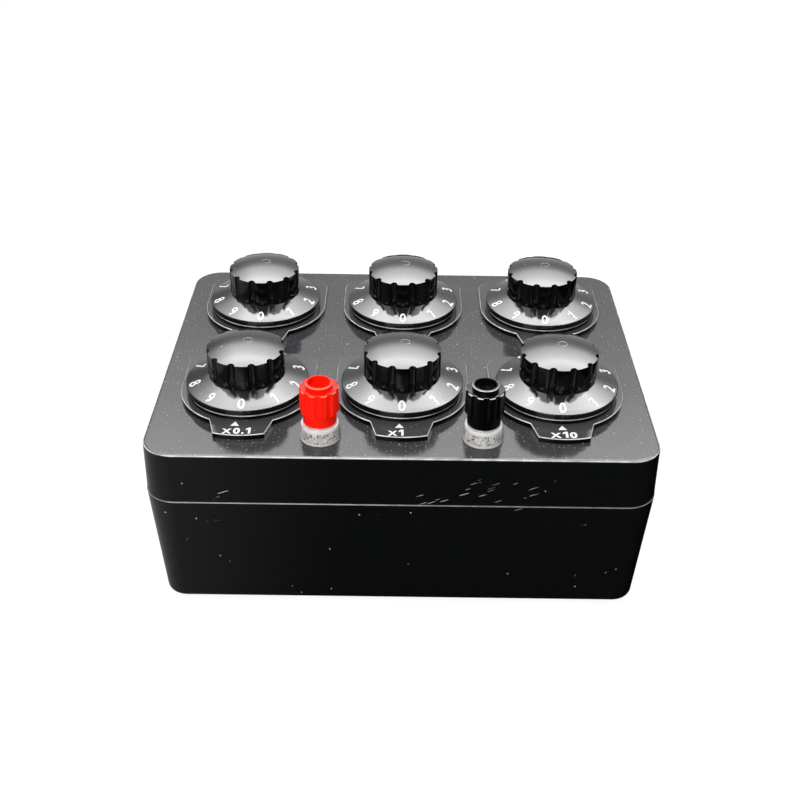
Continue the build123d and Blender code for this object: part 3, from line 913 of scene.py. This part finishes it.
@dataclass
class Camera:
    """The photograph's view, solved from the panel's corners and the dials' outlines.

    Lengths are in millimetres, angles in degrees.
    """

    target: Vector = Vector((-0.76, 9.23, 45.82))
    distance: float = 527.4
    elevation: float = 32.727
    azimuth: float = -0.039
    roll: float = 0.766
    focal_pixels: float = 1159.64
    frame_pixels: float = 800.0
    sensor: float = 36.0

    def place(self) -> None:
        """Create the camera and make it the scene's."""
        rise = math.radians(self.elevation)
        turn = math.radians(self.azimuth)
        back = Vector((
            math.sin(turn) * math.cos(rise), -math.cos(turn) * math.cos(rise), math.sin(rise),
        ))
        right = (-back).cross(Vector((0, 0, 1))).normalized()
        up = right.cross(-back)
        lean = math.radians(self.roll)
        across = right * math.cos(lean) + up * math.sin(lean)
        upright = up * math.cos(lean) - right * math.sin(lean)
        data = bpy.data.cameras.new("photo camera")
        data.sensor_width = self.sensor
        data.lens = self.focal_pixels / self.frame_pixels * self.sensor
        data.clip_start = 0.01
        data.clip_end = 50.0
        camera = bpy.data.objects.new("photo camera", data)
        turned = Matrix((across, upright, back)).transposed().to_4x4()
        camera.matrix_world = Matrix.Translation((self.target + back * self.distance) * MM) @ turned
        bpy.context.scene.collection.objects.link(camera)
        bpy.context.scene.camera = camera


@dataclass
class Studio:
    """Pale floor, a graded soft sweep from behind to overhead, a front fill, a card and the world.

    Lengths are in metres, angles in degrees. The sweep's levels are emission strengths by angle
    above the floor, and its left end is shaded by a flag. The card's glow grows to the left.
    """

    sweep_radius: float = 1.2
    sweep_half_width: float = 0.85
    sweep_from: float = 16.0
    sweep_to: float = 104.0
    sweep_steps: int = 44
    floor_size: float = 12.0
    floor_share: float = 0.72
    floor_white: float = 1.18
    sweep_glare: float = 20.0
    sweep_light: float = 2.6
    sweep_levels: tuple[tuple[float, float], ...] = (
        (16, 0.8), (24, 0.85), (27, 1.05), (31, 1.4), (36, 2.7), (43, 6.0), (50, 8.6), (58, 12.5),
        (65, 18.0), (71, 17.0), (77, 14.5), (90, 16.0),
    )
    flag_from: float = -0.85
    flag_to: float = -0.35
    flag_share: float = 0.3
    world_light: float = 0.35
    fill_power: float = 20.0
    fill_size: float = 0.9
    fill_spot: tuple[float, float, float] = (-0.5, -1.3, 1.1)
    card_size: float = 2.4
    card_level: float = 0.0008
    card_glow: float = 0.42
    card_glow_from: float = -0.02
    card_glow_to: float = -0.14

    def build(self) -> None:
        """Set the whole stage."""
        self._world()
        self._floor()
        self._sweep()
        self._fill()
        self._card()

    def _seen(self, tree: NodeTree) -> NodeSocket:
        """Mask of the rays that show the background: to the camera, in gloss and through glass."""
        path = add(tree, "ShaderNodeLightPath")
        gloss = either(tree, path.outputs["Is Camera Ray"], path.outputs["Is Glossy Ray"])
        return either(tree, gloss, path.outputs["Is Transmission Ray"])

    def _world(self) -> None:
        """White to the eye and in reflections, and a low even light besides."""
        world = bpy.data.worlds.new("studio")
        bpy.context.scene.world = world
        world.use_nodes = True
        tree = world.node_tree
        tree.nodes.clear()
        strength = add(tree, "ShaderNodeMapRange", {
            "Value": self._seen(tree), "To Min": self.world_light, "To Max": 1.0,
        })
        light = add(tree, "ShaderNodeBackground", {"Strength": strength.outputs["Result"]})
        add(tree, "ShaderNodeOutputWorld", {"Surface": light.outputs[0]})

    def _floor(self) -> None:
        """Pale paper: nearly white to the eye, and it keeps the object's shadow."""
        material, tree, surface = empty_material("pale paper")
        paper = add(tree, "ShaderNodeBsdfDiffuse", {"Color": linear("#f2f2f1")})
        white = add(tree, "ShaderNodeEmission", {"Strength": self.floor_white})
        share = add(tree, "ShaderNodeMath", {
            0: self._seen(tree), 1: self.floor_share,
        }, operation="MULTIPLY")
        both = add(tree, "ShaderNodeMixShader", {
            0: share.outputs[0], 1: paper.outputs[0], 2: white.outputs[0],
        })
        tree.links.new(both.outputs[0], surface)
        work = bmesh.new()
        bmesh.ops.create_grid(work, x_segments=1, y_segments=1, size=self.floor_size / 2)
        new_piece("floor", work, material)

    def _sweep(self) -> None:
        """Curved white diffuser, dim behind the object and bright overhead."""
        material, tree, surface = empty_material("graded diffuser")
        place = own_place(tree)
        angle = add(tree, "ShaderNodeMath", {
            0: part_of(tree, place, "Z"), 1: part_of(tree, place, "Y"),
        }, operation="ARCTAN2")
        share = add(tree, "ShaderNodeMapRange", {
            "Value": angle.outputs[0], "From Min": 0.0, "From Max": math.radians(90),
        })
        grade = add(tree, "ShaderNodeValToRGB", {"Fac": share.outputs["Result"]})
        ramp = grade.color_ramp
        for number, (degrees, level) in enumerate(self.sweep_levels):
            position = degrees / 90
            if number < len(ramp.elements):
                stop = ramp.elements[number]
                stop.position = position
            else:
                stop = ramp.elements.new(position)
            stop.color = (level / self.sweep_glare,) * 3 + (1.0,)
        path = add(tree, "ShaderNodeLightPath")
        mirrored = either(tree, path.outputs["Is Glossy Ray"], path.outputs["Is Transmission Ray"])
        strength = add(tree, "ShaderNodeMapRange", {
            "Value": mirrored, "To Min": self.sweep_light, "To Max": self.sweep_glare,
        })
        flagged = add(tree, "ShaderNodeMapRange", {
            "Value": part_of(tree, place, "X"), "From Min": self.flag_from, "From Max": self.flag_to,
            "To Min": self.flag_share, "To Max": 1.0,
        })
        glow = add(tree, "ShaderNodeEmission", {
            "Color": grade.outputs["Color"],
            "Strength": masked(tree, strength.outputs["Result"], flagged.outputs["Result"]),
        })
        tree.links.new(glow.outputs[0], surface)
        work = bmesh.new()
        start = math.radians(self.sweep_from)
        y = self.sweep_radius * math.cos(start)
        z = self.sweep_radius * math.sin(start)
        left = work.verts.new((-self.sweep_half_width, y, z))
        right = work.verts.new((self.sweep_half_width, y, z))
        edge = work.edges.new((left, right))
        bmesh.ops.spin(
            work, geom=[left, right, edge], cent=(0, 0, 0), axis=(1, 0, 0),
            angle=math.radians(self.sweep_to - self.sweep_from), steps=self.sweep_steps,
        )
        sweep = new_piece("diffuser", work, material)
        sweep.visible_camera = False
        sweep.visible_shadow = False

    def _card(self) -> None:
        """Dark card round the object, paler to the left, that only mirror reflections show."""
        material, tree, surface = empty_material("dark card")
        pale = add(tree, "ShaderNodeMapRange", {
            "Value": part_of(tree, own_place(tree), "X"), "From Min": self.card_glow_from,
            "From Max": self.card_glow_to, "To Max": self.card_glow,
        }, interpolation_type="SMOOTHSTEP")
        glow = add(tree, "ShaderNodeEmission", {"Strength": pale.outputs["Result"]})
        tree.links.new(glow.outputs[0], surface)
        work = bmesh.new()
        bmesh.ops.create_grid(work, x_segments=1, y_segments=1, size=self.card_size / 2)
        bmesh.ops.translate(work, verts=work.verts, vec=(0, 0, self.card_level))
        card = new_piece("dark_card", work, material)
        card.visible_camera = False
        card.visible_diffuse = False
        card.visible_transmission = False
        card.visible_shadow = False

    def _fill(self) -> None:
        """Large soft lamp in front, above the camera's left."""
        data = bpy.data.lights.new("front fill", "AREA")
        data.shape = "SQUARE"
        data.size = self.fill_size
        data.energy = self.fill_power
        lamp = bpy.data.objects.new("front fill", data)
        spot = Vector(self.fill_spot)
        lamp.matrix_world = Matrix.Translation(spot) @ spot.to_track_quat("Z", "Y").to_matrix().to_4x4()
        bpy.context.scene.collection.objects.link(lamp)


@dataclass
class Case:
    """Tray, cover, screws and feet."""

    frame: Frame

    def build(self) -> None:
        """Polish the two mouldings and dress the rest."""
        self.frame.polish("top_cover")
        self.frame.polish("lower_case")
        self.frame.polish("rubber_feet")
        self.frame.dress("case_screws")


@dataclass
class Decade:
    """One dial: its plate, its numbered knob and the switch below.

    Lengths are in millimetres. Places of the label and the pointer are measured from the dial's axis.
    """

    frame: Frame
    name: str
    label: str
    label_width: float
    digit_radius: float = 21.2
    digit_height: float = 4.9
    digit_width: float = 2.8
    digit_weight: float = 0.015
    strip: float = 0.4
    skirt_radius: float = 24.87
    grip_radius: float = 15.57
    skirt_rise: float = 3.2
    skirt_edge: float = 2.2
    plate_thickness: float = 2.2
    label_height: float = 4.05
    label_weight: float = 0.042
    label_y: float = -31.85
    pointer_apex: float = -25.6
    pointer_foot: float = -28.65
    pointer_half_width: float = 1.7
    label_x: float = -0.26
    pointer_x: float = -0.34
    ink_stand: float = 0.02
    gate_radius: float = 1.9
    gate_wire: float = 0.2
    gate_x: float = 1.0
    gate_y: float = 0.6
    gate_sunk: float = 0.1

    def build(self) -> None:
        """Dress the dial from the plate up and the switch below it."""
        self.frame.polish(f"{self.name}_dial_plate")
        self.frame.polish(f"{self.name}_knob")
        for piece in ("spindle", "rotor", "wiper", "switch_frame", "wafer"):
            self.frame.dress(f"{self.name}_{piece}")
        self._digits()
        self._marks()
        self._gate()

    def _centre(self) -> Vector:
        """Middle of the dial, in millimetres, on the floor."""
        low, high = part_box(f"{self.name}_knob")
        middle = (low + high) / 2 / MM
        return Vector((middle.x, middle.y, 0))

    def _rim_level(self) -> float:
        """Level of the skirt's outer edge, in millimetres above the floor."""
        low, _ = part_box(f"{self.name}_knob")
        return low.z / MM + self.skirt_edge

    def _digits(self) -> None:
        """Ten digits on the cone, counted anticlockwise, their tops towards the grip."""
        centre = self._centre()
        slope = self.skirt_rise / (self.skirt_radius - self.grip_radius)
        rim = self._rim_level()
        whole = bmesh.new()
        glyphs = Glyphs(self.digit_height, self.digit_weight)
        for digit in range(10):
            work = glyphs.cut(str(digit), None if digit == 1 else self.digit_width)
            self._slice(work)
            turn = math.radians(-90 + 36 * digit)
            for vert in work.verts:
                out = self.digit_radius - vert.co.y
                angle = turn + vert.co.x / self.digit_radius
                level = rim + (self.skirt_radius - out) * slope + self.ink_stand + vert.co.z
                vert.co = centre + Vector((out * math.cos(angle), out * math.sin(angle), level))
            join(whole, work)
        self._finish(whole, f"{self.name}_digits", f"{self.name}_knob", Finish.KNOB)

    def _slice(self, work: BMesh) -> None:
        """Cut a digit into narrow strips, so that it bends round the cone and doesn't sink in."""
        reach = int(self.digit_width / 2 / self.strip)
        for number in range(-reach, reach + 1):
            bmesh.ops.bisect_plane(
                work, geom=work.verts[:] + work.edges[:] + work.faces[:], dist=0.0001,
                plane_co=(number * self.strip, 0, 0), plane_no=(1, 0, 0),
            )

    def _marks(self) -> None:
        """The pointer and the multiplier on the plate's tab."""
        centre = self._centre()
        _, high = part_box("top_cover")
        level = high.z / MM + self.plate_thickness + self.ink_stand
        whole = Glyphs(self.label_height, self.label_weight).cut(self.label, self.label_width)
        bmesh.ops.translate(whole, verts=whole.verts, vec=(self.label_x, self.label_y, 0))
        join(whole, thin_solid([
            (self.pointer_x - self.pointer_half_width, self.pointer_foot),
            (self.pointer_x + self.pointer_half_width, self.pointer_foot),
            (self.pointer_x, self.pointer_apex),
        ]))
        bmesh.ops.translate(whole, verts=whole.verts, vec=centre + Vector((0, 0, level)))
        self._finish(whole, f"{self.name}_marks", f"{self.name}_dial_plate", Finish.PLATE)

    def _gate(self) -> None:
        """Small raised ring that the mould's gate left on top of the dome."""
        centre = self._centre()
        _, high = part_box(f"{self.name}_knob")
        work = bmesh.new()
        bmesh.ops.create_circle(
            work, segments=8, radius=self.gate_wire,
            matrix=Matrix.Translation((self.gate_radius, 0, 0)) @ Matrix.Rotation(math.radians(90), 4, "X"),
        )
        bmesh.ops.spin(
            work, geom=work.verts[:] + work.edges[:], cent=(0, 0, 0), axis=(0, 0, 1),
            angle=math.radians(360), steps=24, use_merge=True,
        )
        bmesh.ops.recalc_face_normals(work, faces=work.faces)
        for face in work.faces:
            face.smooth = True
        place = Vector((self.gate_x, self.gate_y, high.z / MM - self.gate_sunk - self.gate_wire / 2))
        bmesh.ops.translate(work, verts=work.verts, vec=centre + place)
        bmesh.ops.scale(work, verts=work.verts, vec=(MM, MM, MM))
        piece = new_piece(f"{self.name}_gate_mark", work, self.frame.finishes.broken)
        self.frame.mount(piece, f"{self.name}_knob")

    def _finish(self, work: BMesh, name: str, node: str, slot: Finish) -> None:
        """Turn marks in millimetres into an inked piece on a node.

        Args:
            work: The marks, freed here.
            name: Name of the piece.
            node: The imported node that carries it.
            slot: The finish below the ink.
        """
        bmesh.ops.scale(work, verts=work.verts, vec=(MM, MM, MM))
        piece = new_piece(name, work, self.frame.finishes.ink)
        self.frame.mount(piece, node, slot.value)


@dataclass
class Terminal:
    """One binding post: screw cap, clamp washer and stud.

    The cap's flutes end in a ring of sharp edges some millimetres below its mouth, rounded here.
    """

    frame: Frame
    colour: str
    ring_rise: float = 2.0

    def build(self) -> None:
        """Polish the turned and moulded pieces."""
        cap = f"{self.colour}_cap"
        _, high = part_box(cap)
        self.frame.polish(cap, eased_level=high.z / MM - self.ring_rise)
        for piece in ("stud", "clamp_washer"):
            self.frame.polish(f"{self.colour}_{piece}")


def main() -> None:
    """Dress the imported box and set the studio."""
    logging.basicConfig(level=logging.INFO, format="%(message)s")
    bpy.context.scene.view_settings.view_transform = "Standard"
    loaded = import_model()
    frame = Frame.from_loaded(loaded, Finishes())
    Camera().place()
    Studio().build()
    Case(frame).build()
    labels = {
        "x0_1": ("X0.1", 11.2), "x1": ("X1", 6.2), "x10": ("X10", 10.4),
        "x10000": ("X10000", 17.2), "x1000": ("X1000", 14.8), "x100": ("X100", 12.8),
    }
    printed = {"x0_1": (-1.0, -2.0), "x1": (-2.35, -0.9)}
    for name, (label, width) in labels.items():
        dial = Decade(frame, name, label, width)
        dial.label_x, dial.pointer_x = printed.get(name, (dial.label_x, dial.pointer_x))
        dial.build()
    for colour in ("red", "black"):
        Terminal(frame, colour).build()
    frame.polish("post_collars")
    for node in ("bushing_nuts", "detent_springs", "contact_clips", "resistors", "link_wires",
                 "solder_tags", "post_nuts"):
        frame.dress(node)


if __name__ == "__main__":
    main()
